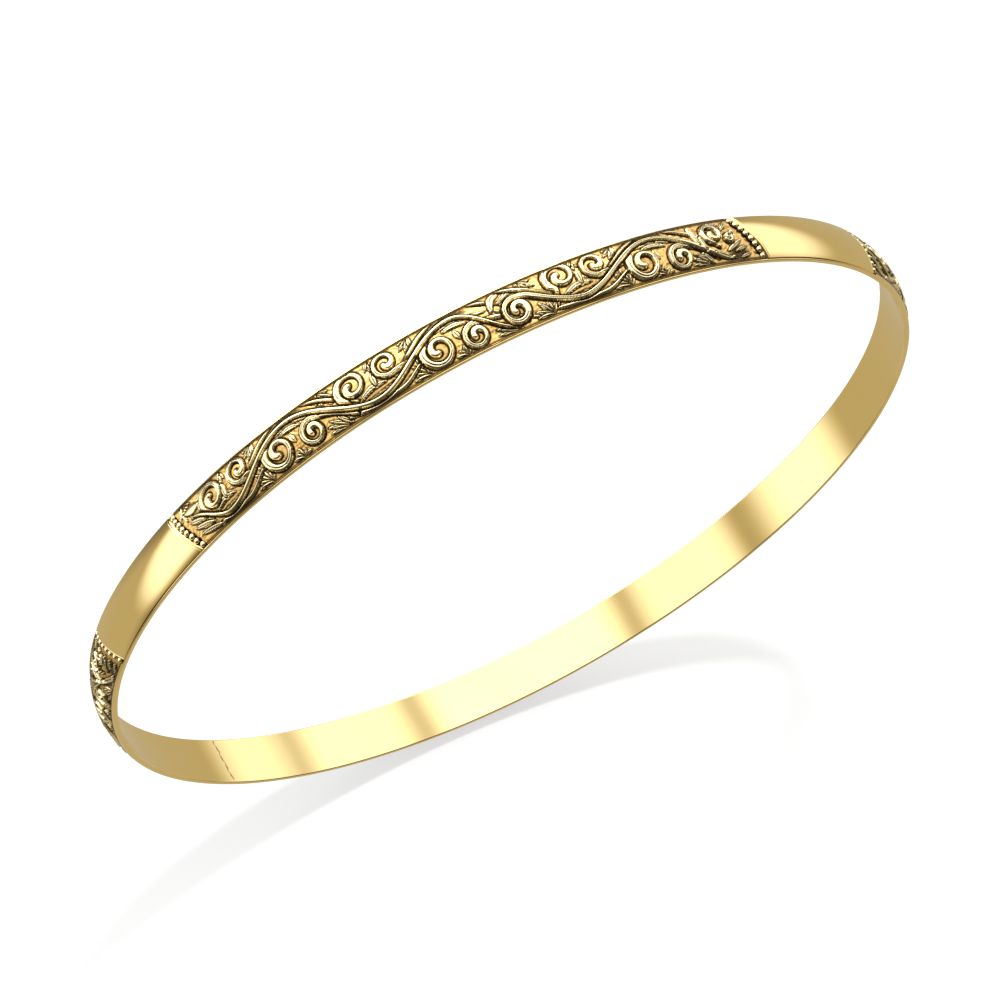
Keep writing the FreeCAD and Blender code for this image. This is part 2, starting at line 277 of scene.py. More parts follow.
class Relief:
    """A height field over one panel, in millimetres along and across the band.

    height runs from 0 in the cut lines to 1 on the highest crests; line is painted shade, 1 in a cut line.
    Strokes are laid one over another, each with a cut line round it.
    """

    def __init__(self, along, across):
        self.order = np.argsort(along, kind="stable")
        self.along = along[self.order]
        self.across = across[self.order]
        ripple = np.sin(7.3 * self.along + 3.1 * np.sin(4.1 * self.across))
        ripple *= np.sin(9.7 * self.across + 2.3 * np.sin(3.3 * self.along))
        self.height = GROUND_HEIGHT + GROUND_RIPPLE * ripple
        self.line = np.full(len(along), GROUND_LINE)

    def nearest(self, path, widths, margin):
        """Distance to the path and its half width there, for the points near it."""
        first = np.searchsorted(self.along, path[:, 0].min() - margin)
        last = np.searchsorted(self.along, path[:, 0].max() + margin)
        distance = np.full(last - first, 1e9)
        width = np.zeros(last - first)
        for number, (a, b) in enumerate(zip(path, path[1:])):
            low = np.searchsorted(self.along, min(a[0], b[0]) - margin)
            high = np.searchsorted(self.along, max(a[0], b[0]) + margin)
            x = self.along[low:high]
            y = self.across[low:high]
            step = b - a
            share = ((x - a[0]) * step[0] + (y - a[1]) * step[1]) / max(step @ step, 1e-12)
            share = np.clip(share, 0, 1)
            reach = np.hypot(x - a[0] - share * step[0], y - a[1] - share * step[1])
            spot = slice(low - first, high - first)
            closer = reach < distance[spot]
            distance[spot][closer] = reach[closer]
            width[spot][closer] = (widths[number] + share * (widths[number + 1] - widths[number]))[closer]
        return slice(first, last), distance, width

    def ridge(self, path, widths, top, cut=0.11, flat=3.0):
        """A rounded raised stroke with a cut line on both sides, painted dark, and painted shade fading out
        beyond it.
        """
        widths = np.interp(np.linspace(0, 1, len(path)), np.linspace(0, 1, len(widths)), widths)
        spot, distance, width = self.nearest(path, widths, widths.max() + 3 * cut)
        height = self.height[spot]
        line = self.line[spot]
        inside = distance < width
        beside = (distance >= width) & (distance < width + cut)
        apron = (distance >= width + cut) & (distance < width + 2 * cut)
        share = distance / np.maximum(width, 1e-6)
        dome = np.sqrt(np.clip(1 - share**flat, 0, 1))
        height[inside] = (STROKE_FOOT + (top - STROKE_FOOT) * dome)[inside]
        line[inside] = 0
        height[beside] = np.minimum(height, CUT_FLOOR)[beside]
        line[beside] = 1
        climb = (distance - width - cut) / cut
        height[apron] = np.minimum(height, CUT_FLOOR + 0.30 * climb + 0.6 * climb**2)[apron]
        line[apron] = np.maximum(line, 0.85 * (1 - climb) ** 1.5)[apron]

    def cut(self, path, width, depth):
        """A narrow engraved line with painted shade in it."""
        widths = np.full(len(path), width)
        spot, distance, _ = self.nearest(path, widths, 2 * width)
        share = np.clip(1 - distance / width, 0, 1)
        self.height[spot] = np.maximum(self.height[spot] - depth * share, 0)
        self.line[spot] = np.maximum(self.line[spot], np.minimum(1.6 * share, 0.9))

    def stretch(self, middle, reach):
        """The points within reach of middle along the band."""
        return slice(*np.searchsorted(self.along, (middle - reach, middle + reach)))

    def dish(self, centre, radius, floor=0.16):
        """Sink a round hollow for a curl to lie in, with faint painted shade in it."""
        spot = self.stretch(centre[0], radius)
        reach = np.hypot(self.along[spot] - centre[0], self.across[spot] - centre[1]) / radius
        share = np.clip((1 - reach) / 0.25, 0, 1)
        self.height[spot] += (floor - self.height[spot]) * share
        self.line[spot] = np.maximum(self.line[spot], 0.16 * share)

    def shade(self, centre, half_along, half_across, amount=0.9):
        """Paint shade over the low ground of an oval field; raised strokes stay bright."""
        spot = self.stretch(centre[0], half_along)
        along = (self.along[spot] - centre[0]) / half_along
        across = (self.across[spot] - centre[1]) / half_across
        share = np.clip((1 - np.hypot(along, across)) / 0.45, 0, 1)
        share *= np.clip(1.3 - 1.6 * self.height[spot], 0, 1)
        self.line[spot] = np.maximum(self.line[spot], amount * share)

    def ball(self, centre, radius, top):
        """A round boss."""
        path = np.array([centre, [centre[0] + 0.01, centre[1]]])
        self.ridge(path, [radius, radius], top)

    def leaf(self, root, tip, width, top=0.8, bend=0.0, vein=True):
        """A pointed leaf with a middle vein; bend bows it to its left."""
        root = np.array(root, float)
        tip = np.array(tip, float)
        step = tip - root
        middle = (root + tip) / 2 + bend * np.array([-step[1], step[0]])
        path = smooth_path([root, middle, tip], 8)
        shape = np.sin(math.pi * np.linspace(0.08, 0.98, len(path))) ** 0.8 * width
        self.ridge(path, shape, top, cut=0.055, flat=2.4)
        if vein:
            self.cut(path[1:-3], 0.05, 0.4)

    def unsorted(self):
        """Height and line in the order of the points that were handed in."""
        height = np.empty_like(self.height)
        line = np.empty_like(self.line)
        height[self.order] = self.height
        line[self.order] = self.line
        return height, line


class ScrollPattern:
    """Two wavy vines with curling branches, laid out from the panel's middle.

    Places are (degrees round the ring, millimetres up from the band's middle).
    """

    FIRST_VINE = ((-40.4, 0.3), (-34.85, -1.27), (-23.15, 1.38), (-11.35, -1.27), (0.35, 1.38), (7.9, -1.4))
    SECOND_VINE = ((39.2, -1.45), (27.85, 1.40), (16.6, -1.22))
    SECOND_VINE_ROOT = ((14.9, -1.04), (13.5, -0.74), (12.15, -0.34), (10.9, 0.12), (9.9, 0.48))
    TROUGHS = (-34.85, -11.35, 16.6)
    CRESTS = (-23.15, 0.35, 27.85)
    UPPER_CURLS = (
        ((-36.5, 0.50), (-31.5, 0.80)), ((-13.8, 0.58), (-8.8, 0.80)), ((14.9, 0.80), (19.6, 0.80)),
    )
    LOWER_CURLS = (
        ((-25.5, -0.24), (-20.3, -0.56)), ((-2.4, -0.40), (2.6, -0.74)), ((25.8, -0.37), (31.1, -0.72)),
    )

    def __init__(self, relief, millimetres_per_degree):
        self.relief = relief
        self.scale = millimetres_per_degree

    def spot(self, degrees, up):
        return np.array([degrees * self.scale, up])

    def wave(self, turns):
        """A vine through its turning points, level at each of them."""
        path = []
        for (a, low), (b, high) in zip(turns, turns[1:]):
            share = np.linspace(0, 1, 40, endpoint=False)
            rise = (1 - np.cos(math.pi * share)) / 2
            path.append(np.stack([(a + (b - a) * share) * self.scale, low + (high - low) * rise], 1))
        return np.vstack([*path, [self.spot(*turns[-1])]])

    def through(self, *places):
        return smooth_path([self.spot(*place) for place in places], 10)

    def strand(self, origin, places, widths, top, cut=0.11):
        """A loose stroke through places, given in degrees from origin."""
        path = self.through(*((origin + degrees, up) for degrees, up in places))
        self.relief.ridge(path, widths, top, cut=cut)

    def leaves(self, origin, *rows):
        """Leaves as (root, tip, width, top, bend, vein), given in degrees from origin."""
        for (root, low), (tip, high), *shape in rows:
            self.relief.leaf(self.spot(origin + root, low), self.spot(origin + tip, high), *shape)

    def curl(self, centre, radius, start, direction, turns, tail=(), widths=(), cut=0.10):
        """A thick branch that winds in round centre and ends in a comma-shaped boss.

        start is the angle, in degrees, at which it meets its tail; direction is +1 anticlockwise.
        """
        self.relief.dish(centre, radius)
        share = np.linspace(0, 1, 60)
        reach = radius * (1 - 0.80 * share**1.5)
        angle = math.radians(start) + direction * share * turns * math.tau
        path = coil = centre + np.stack([reach * np.cos(angle), reach * np.sin(angle)], 1)
        if len(tail):
            lead = smooth_path([*tail, coil[0], coil[4]], 10)[:-10]
            path = np.vstack([lead[:-1], coil])
        self.relief.ridge(path, widths, 1.0, cut=cut)
        self.relief.cut(path[len(path) // 5 : -30], 0.045, 0.30)

    def fan(self, root, leaves, width=0.15, top=0.7):
        """Pointed leaves that spread from one root: (direction in degrees, millimetres)."""
        root = self.spot(*root)
        for lean, length in leaves:
            turn = math.radians(lean)
            self.relief.leaf(root, root + length * np.array([math.cos(turn), math.sin(turn)]), width, top)

    def upper_pair(self, trough, left, right):
        """The two curls over a trough of the vine."""
        self.curl(
            self.spot(*right), 0.98, 292, -1, 1.2,
            [self.spot(trough + 8.2, 0.95), self.spot(trough + 6.2, 0.10)],
            (0.12, 0.16, 0.17, 0.15, 0.13, 0.16, 0.26, 0.20),
        )
        self.curl(
            self.spot(*left), 1.16, 228, -1, 1.3, [self.spot(trough - 3.4, -1.02)],
            (0.14, 0.26, 0.24, 0.17, 0.14, 0.17, 0.26, 0.20),
        )

    def lower_pair(self, crest, left, right):
        """The two curls under a crest of the vine."""
        self.curl(
            self.spot(*right), 0.95, 62, 1, 1.35,
            [self.spot(crest + 8.6, -1.30), self.spot(crest + 6.0, -0.28)],
            (0.09, 0.13, 0.18, 0.19, 0.14, 0.16, 0.25, 0.20),
        )
        self.curl(
            self.spot(*left), 1.20, 142, 1, 1.3, [self.spot(crest - 3.2, 0.95)],
            (0.12, 0.29, 0.27, 0.19, 0.15, 0.17, 0.27, 0.20),
        )

    def basin(self, trough):
        """Leaves and a bud between a pair of curls and the vine below them."""
        self.relief.ball(self.spot(trough - 3.1, -0.62), 0.24, 0.8)
        self.leaves(
            trough,
            ((-2.2, -0.72), (1.8, -0.42), 0.20, 0.8, 0.10),
            ((-1.4, -1.00), (3.0, -0.70), 0.14, 0.65, -0.06),
            ((0.4, -0.30), (0.5, 0.72), 0.22, 0.85),
        )
        for shift in (0, 0.75, 1.5):
            self.relief.leaf(
                self.spot(trough + 3.6 + shift, -0.72 + 0.14 * shift), self.spot(trough + 1.2 + shift, 0.0),
                0.11, top=0.6, bend=-0.12, vein=False,
            )

    def canopy(self, crest):
        """Leaves between a pair of curls and the vine above them."""
        self.leaves(
            crest,
            ((-3.6, 0.88), (0.6, 0.98), 0.15, 0.6, 0.04),
            ((-1.4, 0.66), (1.8, 0.50), 0.19, 0.7, 0.08),
            ((0.2, -0.35), (-0.2, 0.35), 0.2, 0.6),
            ((1.0, 0.98), (4.4, 0.62), 0.13, 0.6, 0.0, False),
        )

    def rising_strands(self, trough):
        """The strands beside a rising stem and the broad band under a trough."""
        stem = ((4.4, 0.02), (6.0, 0.62), (7.5, 1.22), (9.4, 1.72))
        self.strand(trough, stem, (0.07, 0.12, 0.12, 0.08), 0.85)
        stem = ((5.2, 0.0), (6.8, 0.40), (8.4, 1.12), (10.6, 1.70))
        self.strand(trough, stem, (0.06, 0.10, 0.10, 0.06), 0.7, 0.06)
        band = ((-4.2, -1.30), (-1.6, -1.52), (1.8, -1.53), (4.0, -1.32), (6.6, -0.55))
        self.strand(trough, band, (0.08, 0.15, 0.16, 0.12, 0.06), 0.95, 0.07)

    def falling_strands(self, crest):
        """The strands above a falling stem."""
        stem = ((2.8, 1.72), (5.0, 1.22), (7.4, 0.30), (9.4, -0.55))
        self.strand(crest, stem, (0.06, 0.11, 0.12, 0.06), 0.85, 0.10)
        stem = ((4.8, 0.62), (6.6, -0.18), (8.8, -1.05), (10.2, -1.42))
        self.strand(crest, stem, (0.05, 0.09, 0.10, 0.06), 0.7, 0.06)

    def lay(self):
        """Lay all the strokes, from the ground up."""
        for trough in self.TROUGHS:
            self.fan((trough + 6.4, 1.66), ((-170, 0.9), (-148, 1.15), (-124, 1.15), (-100, 0.8)))
            self.fan(
                (trough - 6.9, 1.66), ((-10, 1.0), (-34, 1.35), (-56, 1.6), (-80, 1.3), (-105, 0.8)), 0.16
            )
            self.fan((trough + 0.5, 1.68), ((-62, 0.75), (-90, 0.85), (-118, 0.75)), 0.12)
            self.basin(trough)
        for crest in self.CRESTS:
            self.fan(
                (crest - 5.0, -1.66),
                ((52, 0.8), (80, 1.2), (104, 1.6), (128, 1.5), (152, 1.3), (174, 1.2)), 0.17,
            )
            self.fan(
                (crest + 0.1, -1.68), ((14, 0.8), (50, 0.62), (90, 0.72), (130, 0.62), (166, 0.8)), 0.16, 0.85
            )
            self.fan((crest + 7.6, -1.60), ((176, 1.8), (162, 1.9), (148, 1.7), (130, 1.2)), 0.15)
            self.canopy(crest)
        for trough, crest in zip(self.TROUGHS, self.CRESTS):
            self.rising_strands(trough)
            self.falling_strands(crest)
        for trough, (left, right) in zip(self.TROUGHS, self.UPPER_CURLS):
            self.upper_pair(trough, left, right)
        for crest, (left, right) in zip(self.CRESTS, self.LOWER_CURLS):
            self.lower_pair(crest, left, right)
        self.relief.ridge(self.wave(self.FIRST_VINE), [0.06, 0.15, 0.15, 0.15, 0.15, 0.05], 1.0)
        self.middle_leaves()
        root = [*self.wave(self.SECOND_VINE)[::4], *(self.spot(*place) for place in self.SECOND_VINE_ROOT)]
        self.curl(
            self.spot(8.35, -0.36), 1.03, 78, 1, 1.35, root,
            (0.06, 0.14, 0.15, 0.15, 0.15, 0.15, 0.15, 0.15, 0.15, 0.15, 0.16, 0.20, 0.15, 0.26, 0.20), 0.11,
        )
        self.end_motifs()
        # Painted shade over the low ground under each trough, over each crest and in the hollow at the right
        # end
        for trough in self.TROUGHS:
            self.relief.shade(self.spot(trough + 1.0, -1.50), 2.2, 0.55)
        for crest in self.CRESTS:
            self.relief.shade(self.spot(crest, 1.50), 1.8, 0.40)
        self.relief.shade(self.spot(40.0, -1.15), 1.1, 0.75)

    def middle_leaves(self):
        """The folded leaf over the curl that the second vine grows from, and the fan beside it."""
        self.leaves(
            0,
            ((5.3, 0.35), (7.6, 1.6), 0.28, 0.9, 0.22),
            ((6.4, 0.72), (10.4, 1.02), 0.17, 0.8, 0.16),
        )
        fold = ((7.0, 1.72), (9.4, 1.15), (11.4, 0.35), (13.0, -0.25))
        self.strand(0, fold, (0.07, 0.13, 0.12, 0.06), 0.9)
        self.fan((12.2, -1.62), ((60, 0.9), (95, 1.1), (125, 1.3), (155, 1.3), (176, 1.2)), 0.16)

    def end_motifs(self):
        """Leaves at the panel's left end; a cluster and a hollow with painted shade at its right end."""
        self.leaves(
            0,
            ((-41.2, 0.95), (-38.6, 0.9), 0.36, 0.62, 0.0, False),
            ((-41.0, 0.1), (-38.6, -0.4), 0.2),
            ((-40.6, -0.5), (-37.6, -1.0), 0.2),
            ((-40.2, -1.1), (-36.8, -1.5), 0.18),
        )
        self.relief.dish(self.spot(40.0, -1.15), 0.75, 0.14)
        self.leaves(0, ((34.2, -0.1), (34.0, 1.5), 0.18), ((35.0, -0.55), (34.8, 0.5), 0.15))
        self.curl(self.spot(37.0, 0.60), 0.86, 250, -1, 1.3, widths=(0.10, 0.17, 0.15, 0.13, 0.20, 0.16))
        self.leaves(
            0,
            ((39.0, -0.5), (40.3, 0.7), 0.24),
            ((38.4, -0.9), (40.9, -0.2), 0.17),
            ((38.9, 0.9), (40.2, 1.55), 0.16),
            ((36.2, -0.9), (38.6, -1.55), 0.2),
            ((39.6, -1.0), (41.4, -0.75), 0.15),
            ((40.1, -1.5), (41.7, -1.3), 0.14),
            ((37.4, 1.55), (38.9, 1.35), 0.12),
        )
        self.curl(self.spot(39.2, 0.15), 0.42, 200, 1, 1.1, widths=(0.08, 0.11, 0.10, 0.09, 0.12, 0.10))


# --- materials


NODES_IN_ROW = 8
NODE_STEP = 220


def feed(socket, value):
    """Link an input to another node's output, or set it; None leaves it alone."""
    if isinstance(value, bpy.types.NodeSocket):
        socket.id_data.links.new(value, socket)
    elif value is not None:
        socket.default_value = value


def add(tree, kind, **values):
    """Add a node in the next free place; capitalised values are its inputs, with _ for spaces."""
    node = tree.nodes.new(kind)
    row, column = divmod(len(tree.nodes) - 1, NODES_IN_ROW)
    node.location = (column * NODE_STEP, -row * NODE_STEP)
    for name, value in values.items():
        if name[0].isupper():
            feed(node.inputs[name.replace("_", " ")], value)
        else:
            setattr(node, name, value)
    return node


def wired(node, *values):
    """Feed a node's inputs in order and give its first output."""
    for socket, value in zip(node.inputs, values):
        feed(socket, value)
    return node.outputs[0]


def maths(tree, operation, *values):
    return wired(add(tree, "ShaderNodeMath", operation=operation), *values)


def noise(tree, place, scale, detail):
    return add(tree, "ShaderNodeTexNoise", Vector=place, Scale=scale, Detail=detail).outputs["Fac"]


def ranged(tree, value, low, high, start=0.0, end=1.0, kind="LINEAR"):
    """Map a value from start..end to low..high."""
    return add(
        tree, "ShaderNodeMapRange", interpolation_type=kind,
        Value=value, From_Min=start, From_Max=end, To_Min=low, To_Max=high,
    ).outputs[0]


def mixed(tree, factor, first, second):
    """Mix two colours, each a socket or three numbers."""
    node = add(tree, "ShaderNodeMix", data_type="RGBA", Factor=factor)
    for socket, value in zip(node.inputs[6:8], (first, second)):
        feed(socket, value if isinstance(value, bpy.types.NodeSocket) else (*value, 1))
    return node.outputs[2]


def ramp(tree, value, stops):
    """A colour ramp with stops as (position, colour)."""
    node = add(tree, "ShaderNodeValToRGB", Fac=value)
    elements = node.color_ramp.elements
    elements[0].position, elements[1].position = stops[0][0], stops[-1][0]
    for position, _ in stops[1:-1]:
        elements.new(position)
    for element, (_, colour) in zip(elements, stops):
        element.color = (*colour, 1)
    return node.outputs[0]


# Texture scales per metre, and heights in metres
CLOUD_SCALE = 220
MARK_SCALE = 900
MARK_STRETCH = 22
MARK_HEIGHT = 0.0025 * MM
SWELL_SCALE = 130
SWELL_HEIGHT = 0.08 * MM
SOIL_SCALE = 5200
PIT_HEIGHT = 0.01 * MM
# Roughness at either end of the clouding or of the relief
POLISHED_ROUGHNESS = (0.015, 0.05)
RELIEF_ROUGHNESS = (0.34, 0.07)
SOLDER_ROUGHNESS = (0.3, 0.55)


def wear_group():
    """Fine polishing marks and faint clouding for polished gold: a mask and a height."""
    name = "Polish wear"
    if name in bpy.data.node_groups:
        return bpy.data.node_groups[name]
    group = bpy.data.node_groups.new(name, "ShaderNodeTree")
    for label, way, kind in (
        ("Coordinates", "INPUT", "Vector"), ("Cloud", "OUTPUT", "Float"), ("Height", "OUTPUT", "Float"),
    ):
        group.interface.new_socket(label, in_out=way, socket_type="NodeSocket" + kind)
    place = add(group, "NodeGroupInput").outputs[0]
    drawn_out = add(group, "ShaderNodeMapping", Vector=place, Scale=(1, 1, MARK_STRETCH)).outputs[0]
    fine = maths(group, "MULTIPLY", noise(group, drawn_out, MARK_SCALE, 4), MARK_HEIGHT)
    broad = maths(group, "MULTIPLY", noise(group, place, SWELL_SCALE, 1), SWELL_HEIGHT)
    height = maths(group, "ADD", fine, broad)
    add(group, "NodeGroupOutput", Cloud=noise(group, place, CLOUD_SCALE, 3), Height=height)
    return group


def new_tree(holder):
    """The emptied node tree of a new material or world."""
    holder.use_nodes = True
    holder.node_tree.nodes.clear()
    return holder.node_tree


def new_metal(name):
    """A material with its tree, its object coordinates and its polish wear."""
    material = bpy.data.materials.new(name)
    tree = new_tree(material)
    place = add(tree, "ShaderNodeTexCoord").outputs["Object"]
    wear = add(tree, "ShaderNodeGroup", node_tree=wear_group(), Coordinates=place)
    return material, tree, place, wear.outputs


def finish_metal(tree, colour, roughness, height, strength=None):
    """Join a metal's colour, roughness and bump to its output."""
    bump = add(tree, "ShaderNodeBump", Distance=1.0, Strength=strength, Height=height).outputs[0]
    shader = add(
        tree, "ShaderNodeBsdfPrincipled",
        Metallic=1.0, Base_Color=colour, Roughness=roughness, Normal=bump,
    )
    add(tree, "ShaderNodeOutputMaterial", Surface=shader.outputs[0])


def polished_gold(colours, name="polished_gold_finish"):
    """Mirror-bright gold with fine polishing marks; built once and shared."""
    if name in bpy.data.materials:
        return bpy.data.materials[name]
    material, tree, _, wear = new_metal(name)
    gold = tuple(colours.gold)
    warm = (gold[0] * 0.97, gold[1] * 0.955, gold[2] * 0.90)
    colour = mixed(tree, wear["Cloud"], gold, warm)
    finish_metal(tree, colour, ranged(tree, wear["Cloud"], *POLISHED_ROUGHNESS), wear["Height"], 0.35)
    return material


def relief_gold(colours, name="relief_gold_painted_light"):
    """Painted highlight and shade: pale crests, golden-brown recesses and nearly black cut lines."""
    if name in bpy.data.materials:
        return bpy.data.materials[name]
    material, tree, place, wear = new_metal(name)
    height, line = (
        add(tree, "ShaderNodeAttribute", attribute_name=mask).outputs["Fac"] for mask in ("relief", "cut_line_shade")
    )
    soil = noise(tree, place, SOIL_SCALE, 3)
    raised = maths(tree, "ADD", height, maths(tree, "MULTIPLY_ADD", soil, 0.5, -0.25))
    gold, deep, crest = map(tuple, (colours.gold, colours.recess_shade_gold, colours.crest_highlight_gold))
    # Painted shade and highlight by height: umber lowest, darker orange gold in the recesses, paler gold on
    # the crests
    umber = tuple(0.15 * channel for channel in deep)
    tone = ramp(tree, raised, ((0.0, umber), (0.15, deep), (0.38, gold), (0.66, crest), (1.0, crest)))
    # Painted shade, near black, in the cut lines and the shaded fields
    shade_share = maths(tree, "MULTIPLY", maths(tree, "POWER", line, 0.6), 0.97)
    colour = mixed(tree, shade_share, tone, tuple(colours.shade_black))
    rough = maths(tree, "ADD", wear["Height"], maths(tree, "MULTIPLY", soil, PIT_HEIGHT))
    finish_metal(tree, colour, ranged(tree, raised, *RELIEF_ROUGHNESS), rough, 0.5)
    return material


# --- pieces


def make_inner_liner(sizes, colours):
    """The flat inner band with rounded rims, spun all the way round."""
    ring = Ring(sizes)
    bm = bmesh.new()
    inner, base, bottom, top = ring.inner, ring.base, ring.bottom, ring.top
    corners = ((inner, bottom), (base, bottom), (base, top), (inner, top))
    bm.faces.new([bm.verts.new((radius, 0, height)) for radius, height in corners])
    bmesh.ops.bevel(
        bm, geom=list(bm.verts), offset=sizes.rim_round, affect="VERTICES", segments=5,
        profile=0.5, offset_type="OFFSET", material=-1,
    )
    bmesh.ops.delete(bm, geom=list(bm.faces), context="FACES_ONLY")
    inset = sizes.rim_round * 1.15
    for height in (ring.bottom + inset, ring.top - inset):
        wires = [*bm.verts, *bm.edges]
        bmesh.ops.bisect_plane(bm, geom=wires, plane_co=(0, 0, height), plane_no=(0, 0, 1))
    steps = round(math.tau * ring.inner / sizes.smooth_cell)
    bmesh.ops.spin(
        bm, geom=[*bm.edges, *bm.verts], cent=(0, 0, 0), axis=(0, 0, 1),
        angle=math.tau, steps=steps, use_merge=True,
    )
    bmesh.ops.recalc_face_normals(bm, faces=bm.faces)
    piece = finish_mesh(bm, "inner_liner_band")
    deliver(piece, "inner_liner", polished_gold(colours))


def make_liner_seam(sizes, colours):
    """The soldered joint: an uneven hairline of duller metal across the inner wall."""
    ring = Ring(sizes)
    low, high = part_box("liner_seam")
    angle = math.atan2(low[1] + high[1], low[0] + high[0])
    bm = bmesh.new()
    bmesh.ops.create_grid(bm, x_segments=4, y_segments=60, size=1.0)
    for vert in bm.verts:
        height = ring.middle + vert.co.y * (ring.top - ring.bottom) * 0.46
        sway = 0.05 * MM * math.sin(vert.co.y * 9) + 0.03 * MM * math.sin(vert.co.y * 23 + 1)
        wide = (0.07 + 0.03 * math.sin(vert.co.y * 14)) * MM
        turn = angle + (sway + vert.co.x * wide) / ring.inner
        radius = ring.inner - 0.006 * MM * (1 - vert.co.x**2) - 0.002 * MM
        vert.co = (radius * math.cos(turn), radius * math.sin(turn), height)
    bmesh.ops.solidify(bm, geom=list(bm.faces), thickness=-0.02 * MM)
    bmesh.ops.recalc_face_normals(bm, faces=bm.faces)
    piece = finish_mesh(bm, "liner_solder_seam")
    material, tree, _, wear = new_metal("gold_solder_finish")
    solder = tuple(colours.solder)
    darker = tuple(channel * 0.5 for channel in solder)
    colour = mixed(tree, wear["Cloud"], solder, darker)
    finish_metal(tree, colour, ranged(tree, wear["Cloud"], *SOLDER_ROUGHNESS), wear["Height"])
    deliver(piece, "liner_seam", material)


def make_scroll_panels(sizes, colours):
    """The three panels, each a dome whose surface follows the scroll pattern."""
    ring = Ring(sizes)
    cell = sizes.relief_cell
    clear = sizes.track_width / 2 / ring.base
    for side, ends in PANEL_ENDS.items():
        start, end = ring.between(ends)
        outline = dome_profile(ring, round(2 * ring.half / cell))
        name = f"scroll_panel_{side}_relief"
        piece = sweep_band(name, ring, outline, start + clear, end - clear, cell)
        carve(piece.data, ring, sizes, (start + end) / 2)
        deliver(piece, f"scroll_panel_{side}", relief_gold(colours))


# The groove along a panel's rims, with painted shade in it, and the lip at the rim, painted pale like a crest:
# millimetres from the rim, and levels
RIM_GROOVE = 0.12
RIM_GROOVE_WIDTH = 0.09
RIM_GROOVE_HEIGHT = 0.12
RIM_GROOVE_LINE = 0.95
RIM_LIP = 0.06
RIM_LIP_HEIGHT = 0.80
# Metal left between the deepest cut and the inner band
LEAST_WALL = 0.035 * MM


def carve(mesh, ring, sizes, middle):
    """Sink the surface of a panel to its scroll relief and store the shading masks."""
    points = get_points(mesh)
    radius = np.hypot(points[:, 0], points[:, 1])
    turn = centred(np.arctan2(points[:, 1], points[:, 0]) - middle)
    across = points[:, 2] - ring.middle
    along = turn * (ring.crown + ring.base) / 2 / MM
    relief = Relief(along, across / MM)
    ScrollPattern(relief, math.radians(1) * (ring.crown + ring.base) / 2 / MM).lay()
    height, line = relief.unsorted()
    from_rim = (ring.half - np.abs(across)) / MM
    groove = np.exp(-(((from_rim - RIM_GROOVE) / RIM_GROOVE_WIDTH) ** 2))
    height = height + (RIM_GROOVE_HEIGHT - height) * groove
    line = line + (RIM_GROOVE_LINE - line) * groove
    lip = np.clip(1 - from_rim / RIM_LIP, 0, 1)
    height = height + (RIM_LIP_HEIGHT - height) * lip
    line = line * (1 - lip)
    depth = np.minimum(sizes.relief_depth, radius - ring.base - LEAST_WALL)
    sink = (1 - height) * np.maximum(depth, 0) * ring.on_dome(radius)
    sink_in(mesh, points, radius, sink)
    store_masks(mesh, height, line)


def make_plain_bands(sizes, colours):
    """The polished domed stretches between the panels."""
    ring = Ring(sizes)
    clear = sizes.track_width / 2 / ring.base + sizes.collar_width / ring.base
    for side, ends in BAND_ENDS.items():
        start, end = ring.between(ends)
        outline = dome_profile(ring, 40)
        name = f"plain_band_{side}_dome"
        piece = sweep_band(name, ring, outline, start + clear, end - clear, sizes.smooth_cell)
        deliver(piece, f"plain_band_{side}", polished_gold(colours))


def outward_side(side):
    """+1 where the plain stretch lies anticlockwise of a bead row, else -1."""
    return 1 if side in ("front_right", "right_back", "left_front") else -1


# How far a collar rolls down towards its beads, and the depth of the line along its outer side
COLLAR_ROLL = 0.16 * MM
COLLAR_LINE = 0.025 * MM


def make_end_collars(sizes, colours):
    """A thin rounded lip between each bead row and its plain stretch."""
    ring = Ring(sizes)
    track = sizes.track_width / ring.base
    width = sizes.collar_width / ring.base
    for side in ROW_SIDES:
        middle = ring.row_angle(side) + outward_side(side) * (track + width) / 2
        outline = dome_profile(ring, 60)
        name = f"end_collar_{side}_lip"
        start, end = middle - width / 2, middle + width / 2
        piece = sweep_band(name, ring, outline, start, end, sizes.collar_width / 12)
        points = get_points(piece.data)
        lean_turn = ring.lean * (points[:, 2] - ring.middle) / ring.crown
        turn = centred(np.arctan2(points[:, 1], points[:, 0]) + lean_turn - middle)
        share = np.clip(turn * outward_side(side) / (width / 2), -1, 1)
        radius = np.hypot(points[:, 0], points[:, 1])
        towards_beads = np.clip(-share, 0, 1)
        sink = COLLAR_ROLL * towards_beads**2.5 + COLLAR_LINE * np.exp(-((share - 0.75) ** 2) / 0.03)
        sink_in(piece.data, points, radius, sink * ring.on_dome(radius))
        deliver(piece, f"end_collar_{side}", polished_gold(colours))


